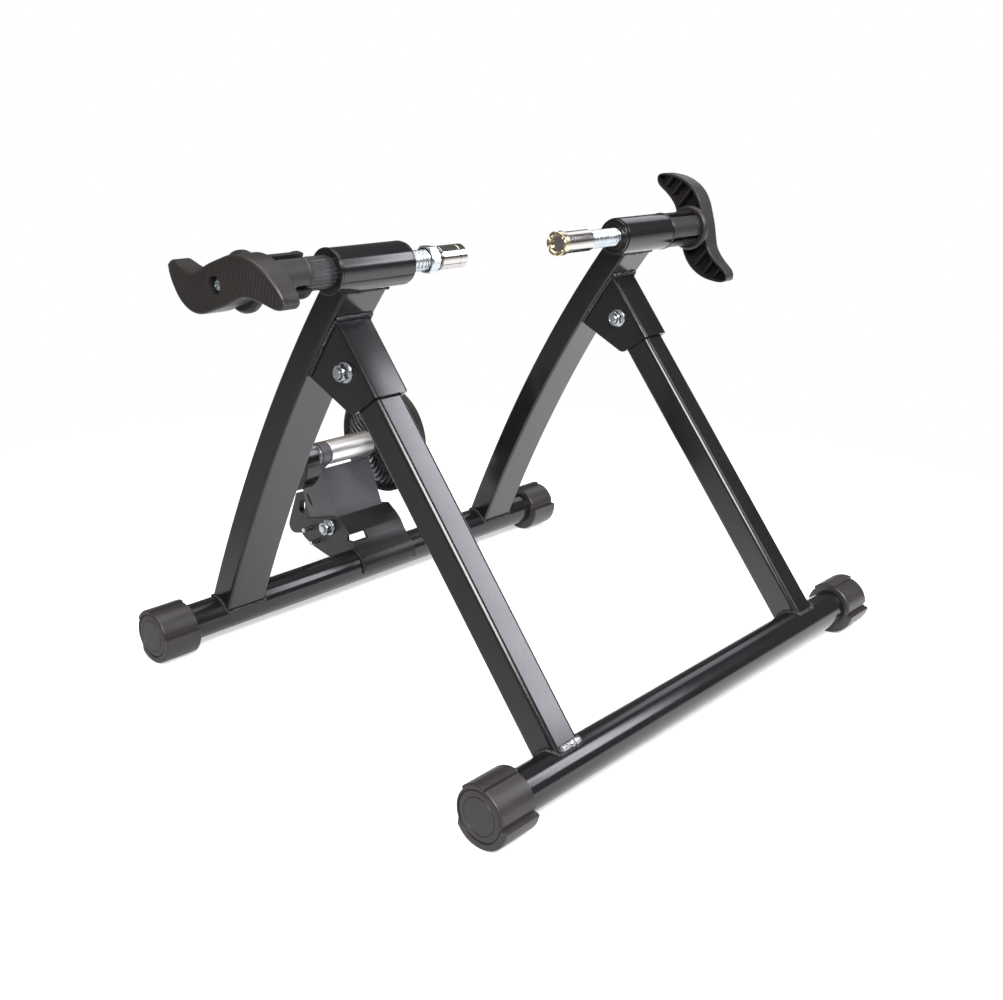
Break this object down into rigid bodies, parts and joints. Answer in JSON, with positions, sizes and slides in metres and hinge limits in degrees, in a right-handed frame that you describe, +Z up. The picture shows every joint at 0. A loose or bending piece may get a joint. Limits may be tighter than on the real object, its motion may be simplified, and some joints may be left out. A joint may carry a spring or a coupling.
{
  "type": "wheel on turbo trainer",
  "caption": "Folding A-frame bicycle trainer with screw clamps for the rear axle and a tilting magnetic roller unit.",
  "frame": {"origin": "middle of the whole object's box, on the floor", "axes": "+X along the base tubes from the flywheel's side to the brake's side, +Y from the front tube to the rear tube, +Z up"},
  "size_m": [0.6068, 0.5482, 0.4248],
  "materials": {
    "powder_coat": "satin black powder coat",
    "moulded_plastic": "textured black plastic",
    "rubber": "matt black rubber",
    "zinc_plate": "bright zinc plate",
    "chrome_plate": "chrome plate",
    "bright_steel": "ground bright steel",
    "aluminium": "turned aluminium",
    "nickel": "nickel plated magnet"
  },
  "bodies": {
    "base": {"rear_base_tube": "powder_coat", "rear_left_leg": "powder_coat", "rear_right_leg": "powder_coat", "left_head_tube": "powder_coat", "right_head_tube": "powder_coat", "left_fold_bracket": "powder_coat", "right_fold_bracket": "powder_coat", "left_fold_bolt": "zinc_plate", "right_fold_bolt": "zinc_plate", "left_fold_nut": "zinc_plate", "right_fold_nut": "zinc_plate", "left_inner_bush": "moulded_plastic", "right_inner_bush": "moulded_plastic", "left_threaded_sleeve": "moulded_plastic", "right_threaded_sleeve": "moulded_plastic", "saddle_bracket": "powder_coat", "ear_stud_1": "zinc_plate", "ear_stud_2": "zinc_plate", "arm_bolt": "zinc_plate", "arm_nut": "zinc_plate"},
    "front_frame": {"front_base_tube": "powder_coat", "front_left_leg": "powder_coat", "front_right_leg": "powder_coat", "left_fold_bush": "zinc_plate", "right_fold_bush": "zinc_plate"},
    "arm": {"resistance_arm": "powder_coat", "left_bearing": "bright_steel", "right_bearing": "bright_steel", "brake_shell": "moulded_plastic", "brake_cover": "moulded_plastic", "magnet_carrier": "zinc_plate", "magnet_1": "nickel", "magnet_2": "nickel", "magnet_3": "nickel", "magnet_4": "nickel", "magnet_5": "nickel", "magnet_6": "nickel"},
    "rotor": {"roller": "bright_steel", "roller_shaft": "bright_steel", "flywheel": "powder_coat", "spacer_tube": "zinc_plate", "shaft_nut": "zinc_plate", "rotor_disc": "aluminium"},
    "lever": {"release_lever": "moulded_plastic"},
    "lock_nut": {"left_lock_nut": "zinc_plate"},
    "rear_left_foot": {"rear_left_cap": "rubber"},
    "rear_right_foot": {"rear_right_cap": "rubber"},
    "front_left_foot": {"front_left_cap": "rubber"},
    "front_right_foot": {"front_right_cap": "rubber"},
    "left_cup": {"left_axle_cup": "chrome_plate"},
    "left_screw": {"left_screw_rod": "zinc_plate", "left_handle": "moulded_plastic", "left_handle_screw": "zinc_plate"},
    "right_cup": {"right_axle_cup": "chrome_plate"},
    "right_screw": {"right_screw_rod": "zinc_plate", "right_handle": "moulded_plastic", "right_handle_screw": "zinc_plate"}
  },
  "joints": [
    {"name": "front_frame_fold", "type": "hinge", "parent": "base", "child": "front_frame", "pos_m": [0.0121, -0.02675, 0.292], "axis": [1, 0, 0], "range_deg": [0, 66]},
    {"name": "rear_left_foot_turn", "type": "hinge", "parent": "base", "child": "rear_left_foot", "pos_m": [-0.2399, 0.1604, 0.026], "axis": [1, 0, 0], "continuous": true},
    {"name": "rear_right_foot_turn", "type": "hinge", "parent": "base", "child": "rear_right_foot", "pos_m": [0.2641, 0.1604, 0.026], "axis": [1, 0, 0], "continuous": true},
    {"name": "front_left_foot_turn", "type": "hinge", "parent": "front_frame", "child": "front_left_foot", "pos_m": [-0.2399, -0.2481, 0.026], "axis": [1, 0, 0], "continuous": true},
    {"name": "front_right_foot_turn", "type": "hinge", "parent": "front_frame", "child": "front_right_foot", "pos_m": [0.2641, -0.2481, 0.026], "axis": [1, 0, 0], "continuous": true},
    {"name": "left_cup_slide", "type": "slide", "parent": "base", "child": "left_cup", "axis": [1, 0, 0], "range_m": [0, 0.024]},
    {"name": "left_handle_turn", "type": "hinge", "parent": "left_cup", "child": "left_screw", "pos_m": [-0.2879, -0.03135, 0.3729], "axis": [1, 0, 0], "range_deg": [0, 2161]},
    {"name": "right_cup_slide", "type": "slide", "parent": "base", "child": "right_cup", "axis": [1, 0, 0], "range_m": [0, 0.024]},
    {"name": "right_handle_turn", "type": "hinge", "parent": "right_cup", "child": "right_screw", "pos_m": [0.3121, -0.03135, 0.3729], "axis": [1, 0, 0], "range_deg": [0, 2161]},
    {"name": "lock_nut_turn", "type": "hinge", "parent": "left_screw", "child": "lock_nut", "pos_m": [-0.0974, -0.03135, 0.3729], "axis": [1, 0, 0], "range_deg": [-180, 180]},
    {"name": "arm_tilt", "type": "hinge", "parent": "base", "child": "arm", "pos_m": [0.0121, 0.19665, 0.0598], "axis": [1, 0, 0], "range_deg": [-15, 5]},
    {"name": "roller_spin", "type": "hinge", "parent": "arm", "child": "rotor", "pos_m": [0.0121, 0.2102, 0.1373], "axis": [1, 0, 0], "continuous": true},
    {"name": "lever_turn", "type": "hinge", "parent": "base", "child": "lever", "pos_m": [-0.0073, 0.19665, 0.0598], "axis": [1, 0, 0], "range_deg": [-10, 20]}
  ],
  "couplings": [
    {"joint": "left_handle_turn", "follows": "left_cup_slide", "rad_per_m": 1570.8},
    {"joint": "right_handle_turn", "follows": "right_cup_slide", "rad_per_m": 1570.8}
  ]
}
